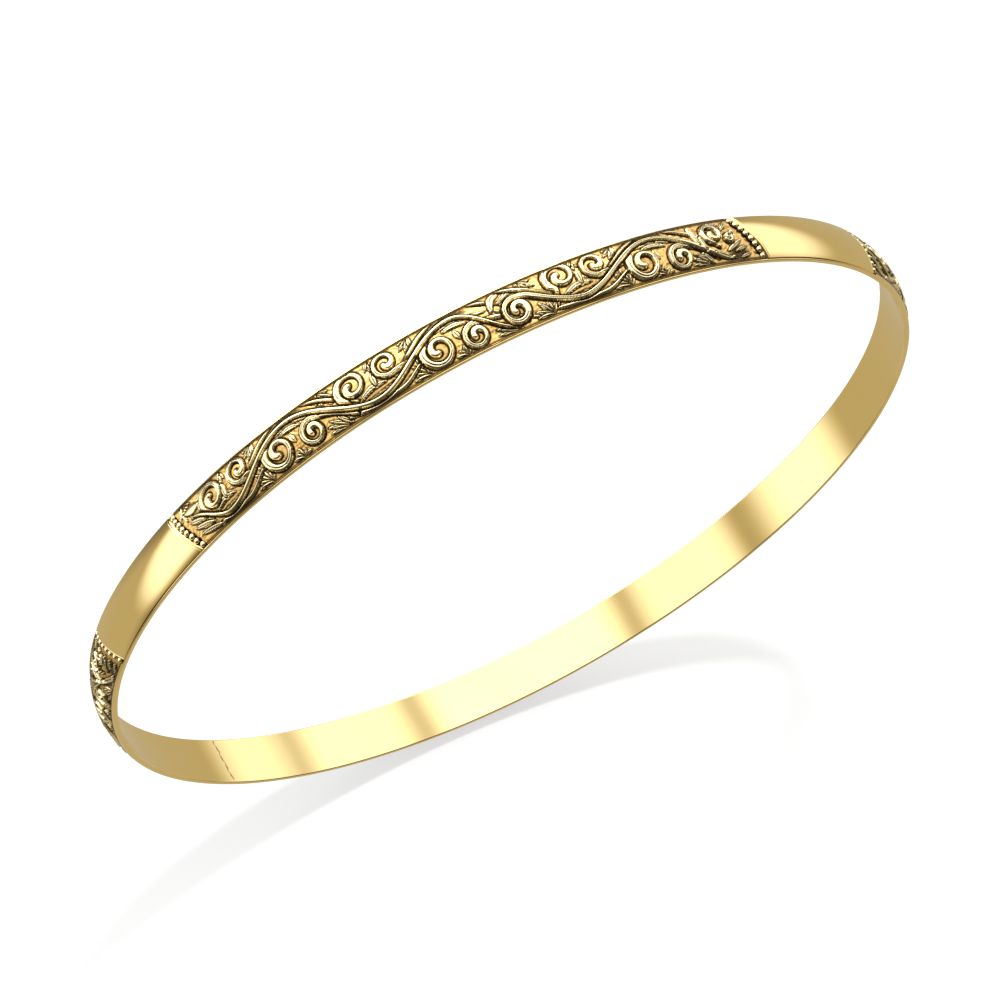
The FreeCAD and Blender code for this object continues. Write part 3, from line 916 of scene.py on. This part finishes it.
def make_bead_rows(sizes, colours):
    """A sunk strip with a row of round beads from rim to rim."""
    ring = Ring(sizes)
    track = sizes.track_width / ring.base
    count = sizes.bead_count
    for side in ROW_SIDES:
        middle = ring.row_angle(side)
        outline = dome_profile(ring, 30, sink=sizes.track_sink, edge=0.04 * MM)
        name = f"bead_row_{side}_beads"
        piece = sweep_band(name, ring, outline, middle - track / 2, middle + track / 2, track * ring.base / 4)
        bm = bmesh.new()
        bm.from_mesh(piece.data)
        strip = len(bm.verts)
        for number in range(count):
            across = ring.half * (2 * (number + 0.5) / count - 1) * 0.97
            wobble = math.sin(number * 2.4 + middle * 7)
            radius = sizes.bead_radius * (1 + 0.05 * wobble)
            reach = float(ring.dome(across)) + 0.03 * MM - radius
            turn = middle - ring.lean * across / ring.crown + 0.03 * MM * wobble / ring.crown
            centre = (reach * math.cos(turn), reach * math.sin(turn), ring.middle + across)
            bmesh.ops.create_uvsphere(
                bm, u_segments=28, v_segments=16, radius=radius, matrix=Matrix.Translation(centre)
            )
        bm.verts.ensure_lookup_table()
        # The sunk strip is painted near black as shade, the beads' lower parts get painted shade and their
        # tops are painted pale like crests
        heights = [0.0] * len(bm.verts)
        lines = [1.0] * len(bm.verts)
        for vert in bm.verts[strip:]:
            reach = Vector(vert.co.xy).length
            share = (reach - float(ring.dome(vert.co.z - ring.middle))) / sizes.bead_radius
            heights[vert.index] = max(0.0, min(1.0, 1.0 + 0.9 * share))
            lines[vert.index] = max(0.0, min(1.0, -0.55 - 1.6 * share))
        bm.to_mesh(piece.data)
        bm.free()
        store_masks(piece.data, heights, lines)
        piece.data.polygons.foreach_set("use_smooth", [True] * len(piece.data.polygons))
        deliver(piece, f"bead_row_{side}", relief_gold(colours, "bead_gold_painted_light"))


# --- the stage


CAMERA_DISTANCE = 498.94 * MM
CAMERA_AZIMUTH = math.radians(-5.0)
CAMERA_ELEVATION = math.radians(-21.54)
CAMERA_ROLL = math.radians(-29.64)
CAMERA_LENS = 244.15
CAMERA_CLIP = (0.05, 5)
CAMERA_AIM = Vector((0.05, -0.27, 2.62)) * MM
FLOOR_PITCH = math.radians(47.5)
FLOOR_TILT = math.radians(-3.5)
FLOOR_SIZE = 3.0
FLOOR_GAP = 0.3 * MM
FLOOR_MATTE = (0.16, 0.16, 0.16, 1)
FLOOR_GLOW = 0.65
# The floor glows a little more towards the viewer, so that the shadow dies away
FADE_START = -8 * MM
FADE_END = 16 * MM
FADE_GAIN = 0.07
OUTLINE_POINTS = 180
# The sun's strength and width, and its direction as shares of the camera's up, back and right
SUN_ENERGY = 4.3
SUN_ANGLE = math.radians(8.5)
SUN_UP, SUN_BACK, SUN_RIGHT = 0.797, 0.584, 0.158


def view_axes():
    """The camera's right, up and backward directions."""
    level = math.cos(CAMERA_ELEVATION)
    x, y = math.sin(CAMERA_AZIMUTH) * level, -math.cos(CAMERA_AZIMUTH) * level
    back = Vector((x, y, math.sin(CAMERA_ELEVATION)))
    right = Vector((0, 0, 1)).cross(back).normalized()
    right = Matrix.Rotation(CAMERA_ROLL, 3, back) @ right
    return right, back.cross(right), back


def make_camera():
    right, up, back = view_axes()
    data = bpy.data.cameras.new("camera")
    data.lens = CAMERA_LENS
    data.clip_start, data.clip_end = CAMERA_CLIP
    camera = bpy.data.objects.new("camera", data)
    bpy.context.collection.objects.link(camera)
    turn = Matrix((right, up, back)).transposed()
    camera.matrix_world = Matrix.Translation(CAMERA_AIM + back * CAMERA_DISTANCE) @ turn.to_4x4()
    bpy.context.scene.camera = camera


# Light panels stood around the ring: bearing of the middle (0 is in front, positive to the
# ring's right), half width and softness of its sides in degrees, and brightness
LIGHT_PANELS = (
    ("far left", -84, 15, 18, 1.7),
    ("left", -39, 15, 12, 1.6),
    ("front", 12, 28, 12, 2.0),
    ("right", 63, 16, 12, 1.7),
    ("far right", 98, 12, 18, 1.4),
)
SURROUND = 0.52
SURROUND_TINT = (1.0, 0.90, 0.66)
WHITE = (1.0, 1.0, 1.0)
# Below and above these elevations, in degrees, the panels fade to UNLIT_SHARE
PANEL_FOOT = (-24, -3)
PANEL_HEAD = (34, 62)
UNLIT_SHARE = 0.07
# Behind the ring the panels stop fading, between these cosines of the angle from straight behind
BEHIND = (0.35, 0.80)
# A high light over the front, which only sloping faces mirror
HIGH_LIGHT = 5.0
HIGH_REACH = (62, 80)
HIGH_FOOT = (38, 46)
HIGH_HEAD = (74, 84)


def make_world():
    """White to the camera; to the metal, a few soft light panels in front and a dim surround."""
    world = bpy.data.worlds.new("studio")
    bpy.context.scene.world = world
    tree = new_tree(world)
    place = add(tree, "ShaderNodeTexCoord").outputs["Generated"]
    part = add(tree, "ShaderNodeSeparateXYZ", Vector=place).outputs
    bearing = maths(tree, "ARCTAN2", part["X"], maths(tree, "MULTIPLY", part["Y"], -1.0))
    rise = maths(tree, "ARCSINE", part["Z"])

    def step(value, edges, low=0.0, high=1.0):
        return ranged(tree, value, low, high, *edges, "SMOOTHSTEP")

    def fade(value, edges, low, high):
        return step(value, map(math.radians, edges), low, high)

    total = None
    for name, middle, half, soft, level in LIGHT_PANELS:
        offset = maths(tree, "ABSOLUTE", maths(tree, "SUBTRACT", bearing, math.radians(middle)))
        glow = fade(offset, (half - soft / 2, half + soft / 2), level - SURROUND, 0.0)
        glow.node.label = name
        total = glow if total is None else maths(tree, "ADD", total, glow)
    foot = fade(rise, PANEL_FOOT, UNLIT_SHARE, 1.0)
    head = fade(rise, PANEL_HEAD, 1.0, UNLIT_SHARE)
    lit = maths(tree, "MULTIPLY", foot, head)
    share = maths(tree, "MAXIMUM", lit, step(part["Y"], BEHIND))
    strength = maths(tree, "MULTIPLY", maths(tree, "ADD", total, SURROUND), share)
    high = fade(maths(tree, "ABSOLUTE", bearing), HIGH_REACH, HIGH_LIGHT, 0.0)
    high = maths(tree, "MULTIPLY", high, fade(rise, HIGH_FOOT, 0.0, 1.0))
    high = maths(tree, "MULTIPLY", high, fade(rise, HIGH_HEAD, 1.0, 0.0))
    strength = maths(tree, "ADD", strength, high)
    tint = mixed(tree, step(strength, (SURROUND, 1.0)), SURROUND_TINT, WHITE)
    metal = add(tree, "ShaderNodeBackground", Color=tint, Strength=strength).outputs[0]
    white = add(tree, "ShaderNodeBackground", Color=(*WHITE, 1)).outputs[0]
    to_camera = add(tree, "ShaderNodeLightPath").outputs["Is Camera Ray"]
    pick = wired(add(tree, "ShaderNodeMixShader"), to_camera, metal, white)
    add(tree, "ShaderNodeOutputWorld", Surface=pick)


def make_floor(colours, ring):
    """A white sheet just under the ring; from behind it can't be seen."""
    right, up, back = view_axes()
    normal = up * math.cos(FLOOR_TILT) + right * math.sin(FLOOR_TILT)
    normal = (normal * math.cos(FLOOR_PITCH) + back * math.sin(FLOOR_PITCH)).normalized()
    right = (right - normal * right.dot(normal)).normalized()
    side = right.cross(normal)
    depth = min(
        normal.dot(Vector((ring.crown * math.cos(a), ring.crown * math.sin(a), z)))
        for a in np.linspace(0, math.tau, OUTLINE_POINTS)
        for z in (ring.bottom, ring.top)
    )
    bm = bmesh.new()
    bmesh.ops.create_grid(bm, x_segments=1, y_segments=1, size=FLOOR_SIZE)
    turn = Matrix((right, -side, normal)).transposed().to_4x4()
    place = Matrix.Translation(normal * (depth - FLOOR_GAP))
    bmesh.ops.transform(bm, matrix=place @ turn, verts=bm.verts)
    floor = finish_mesh(bm, "white_floor")
    floor.visible_glossy = False
    material = bpy.data.materials.new("white_floor")
    tree = new_tree(material)
    place = add(tree, "ShaderNodeTexCoord").outputs["Object"]
    reach = add(tree, "ShaderNodeVectorMath", operation="DOT_PRODUCT")
    wired(reach, place, side)
    strength = ranged(
        tree, reach.outputs["Value"], FLOOR_GLOW, FLOOR_GLOW + FADE_GAIN, FADE_START, FADE_END, "SMOOTHSTEP"
    )
    glow = add(tree, "ShaderNodeEmission", Color=(*colours.floor, 1), Strength=strength).outputs[0]
    matte = add(tree, "ShaderNodeBsdfDiffuse", Color=FLOOR_MATTE).outputs[0]
    sheet = wired(add(tree, "ShaderNodeAddShader"), glow, matte)
    clear = add(tree, "ShaderNodeBsdfTransparent").outputs[0]
    from_behind = add(tree, "ShaderNodeNewGeometry").outputs["Backfacing"]
    pick = wired(add(tree, "ShaderNodeMixShader"), from_behind, sheet, clear)
    add(tree, "ShaderNodeOutputMaterial", Surface=pick)
    floor.data.materials.append(material)


def make_lamp():
    """A soft sun above and behind the camera, a little to its right."""
    right, up, back = view_axes()
    data = bpy.data.lights.new("soft_sun", "SUN")
    data.energy = SUN_ENERGY
    data.angle = SUN_ANGLE
    lamp = bpy.data.objects.new("soft_sun", data)
    towards = (up * SUN_UP + back * SUN_BACK + right * SUN_RIGHT).normalized()
    lamp.rotation_mode = "QUATERNION"
    lamp.rotation_quaternion = towards.to_track_quat("Z", "Y")
    lamp.visible_glossy = False
    bpy.context.collection.objects.link(lamp)


# --- operators and panel


def settings(context):
    return context.scene.bangle_sizes, context.scene.bangle_colours


class MakeStage(bpy.types.Operator):
    """Make the camera, world, floor and lamp"""

    bl_idname = "bangle.stage"
    bl_label = "Stage"

    def execute(self, context):
        sizes, colours = settings(context)
        make_camera()
        make_world()
        make_floor(colours, Ring(sizes))
        make_lamp()
        context.scene.view_settings.view_transform = "Standard"
        return {"FINISHED"}


class MakeInnerLiner(bpy.types.Operator):
    """Make the flat inner band"""

    bl_idname = "bangle.inner_liner"
    bl_label = "Inner liner"

    def execute(self, context):
        make_inner_liner(*settings(context))
        return {"FINISHED"}


class MakeLinerSeam(bpy.types.Operator):
    """Make the soldered joint in the inner band"""

    bl_idname = "bangle.liner_seam"
    bl_label = "Liner seam"

    def execute(self, context):
        make_liner_seam(*settings(context))
        return {"FINISHED"}


class MakeScrollPanels(bpy.types.Operator):
    """Make the three scroll-relief panels"""

    bl_idname = "bangle.scroll_panels"
    bl_label = "Scroll panels"

    def execute(self, context):
        make_scroll_panels(*settings(context))
        return {"FINISHED"}


class MakePlainBands(bpy.types.Operator):
    """Make the polished stretches between the panels"""

    bl_idname = "bangle.plain_bands"
    bl_label = "Plain bands"

    def execute(self, context):
        make_plain_bands(*settings(context))
        return {"FINISHED"}


class MakeBeadRows(bpy.types.Operator):
    """Make the leaning rows of beads"""

    bl_idname = "bangle.bead_rows"
    bl_label = "Bead rows"

    def execute(self, context):
        make_bead_rows(*settings(context))
        return {"FINISHED"}


class MakeEndCollars(bpy.types.Operator):
    """Make the thin lips beside the bead rows"""

    bl_idname = "bangle.end_collars"
    bl_label = "End collars"

    def execute(self, context):
        make_end_collars(*settings(context))
        return {"FINISHED"}


STEPS = (
    MakeStage,
    MakeInnerLiner,
    MakeLinerSeam,
    MakeScrollPanels,
    MakePlainBands,
    MakeBeadRows,
    MakeEndCollars,
)


class BanglePanel(bpy.types.Panel):
    """The bangle's settings and its pieces, in the order they are made"""

    bl_idname = "VIEW3D_PT_bangle"
    bl_label = "Bangle"
    bl_space_type = "VIEW_3D"
    bl_region_type = "UI"
    bl_category = "Bangle"

    def draw(self, context):
        for group in settings(context):
            box = self.layout.box()
            for name in group.__annotations__:
                box.prop(group, name)
        for step in STEPS:
            self.layout.operator(step.bl_idname)


CLASSES = (BangleSizes, BangleColours, *STEPS, BanglePanel)


def register():
    for cls in CLASSES:
        bpy.utils.register_class(cls)
    bpy.types.Scene.bangle_sizes = PointerProperty(type=BangleSizes)
    bpy.types.Scene.bangle_colours = PointerProperty(type=BangleColours)


def unregister():
    del bpy.types.Scene.bangle_colours
    del bpy.types.Scene.bangle_sizes
    for cls in reversed(CLASSES):
        bpy.utils.unregister_class(cls)


def main():
    register()
    bpy.ops.bangle.stage()
    bpy.ops.bangle.inner_liner()
    bpy.ops.bangle.liner_seam()
    bpy.ops.bangle.scroll_panels()
    bpy.ops.bangle.plain_bands()
    bpy.ops.bangle.bead_rows()
    bpy.ops.bangle.end_collars()


if __name__ == "__main__":
    main()
